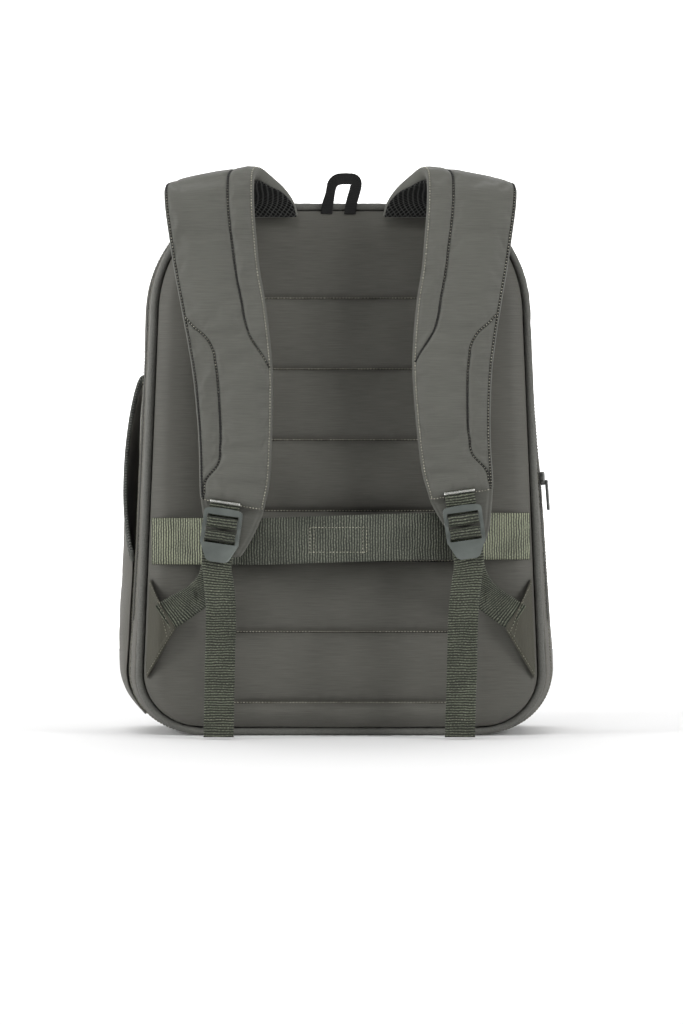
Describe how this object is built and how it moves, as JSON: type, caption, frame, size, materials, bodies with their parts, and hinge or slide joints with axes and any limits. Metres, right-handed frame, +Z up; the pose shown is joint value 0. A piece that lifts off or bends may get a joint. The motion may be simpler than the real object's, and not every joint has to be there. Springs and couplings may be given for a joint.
{
  "type": "laptop backpack",
  "caption": "Upright laptop backpack with a quilted back panel, padded shoulder straps with ladder-lock buckles, a strap for a luggage handle, a side bottle pocket and a front pocket.",
  "frame": {"origin": "middle of the bounding box's base, on the surface that the bag stands on", "axes": "+Z up, +Y towards the front pocket, -Y towards the wearer's back, +X to the right seen from the wearer's side"},
  "size_m": [0.3578, 0.2282, 0.4574],
  "materials": {
    "panel_fabric": "grey-green ripstop nylon over foam, quilted",
    "shell_fabric": "grey-green ripstop nylon",
    "strap_fabric": "grey-green ripstop nylon over foam",
    "strap_mesh": "black spacer mesh",
    "piping": "grey-green covered cord",
    "webbing": "ribbed grey-green webbing",
    "black_webbing": "narrow black webbing",
    "elastic": "knitted elastic binding",
    "zip_tape": "dark zip tape with a nylon coil",
    "buckle_plastic": "grey moulded plastic, satin",
    "pull_plastic": "grey moulded plastic, satin",
    "slider_metal": "dark painted slider"
  },
  "bodies": {
    "root": {"back_panel": "panel_fabric", "rear_piping": "piping", "rear_gusset": "shell_fabric", "rear_zip": "zip_tape", "body_gusset": "shell_fabric", "main_zip": "zip_tape", "front_panel": "shell_fabric", "front_pocket": "shell_fabric", "front_pocket_zip": "zip_tape", "bottle_pocket": "shell_fabric", "bottle_pocket_elastic": "elastic", "shoulder_strap_right": "strap_fabric", "strap_lining_right": "strap_mesh", "buckle_tab_right": "webbing", "buckle_right": "buckle_plastic", "wing_right": "shell_fabric", "adjuster_webbing_right": "webbing", "shoulder_strap_left": "strap_fabric", "strap_lining_left": "strap_mesh", "buckle_tab_left": "webbing", "buckle_left": "buckle_plastic", "wing_left": "shell_fabric", "adjuster_webbing_left": "webbing", "luggage_strap": "webbing", "hang_loop": "black_webbing", "rear_zip_slider": "slider_metal", "rear_zip_pull": "pull_plastic", "main_zip_right_slider": "slider_metal", "main_zip_right_pull": "pull_plastic", "main_zip_left_slider": "slider_metal", "main_zip_left_pull": "pull_plastic", "front_pocket_zip_slider": "slider_metal", "front_pocket_zip_pull": "pull_plastic"}
  },
  "joints": []
}
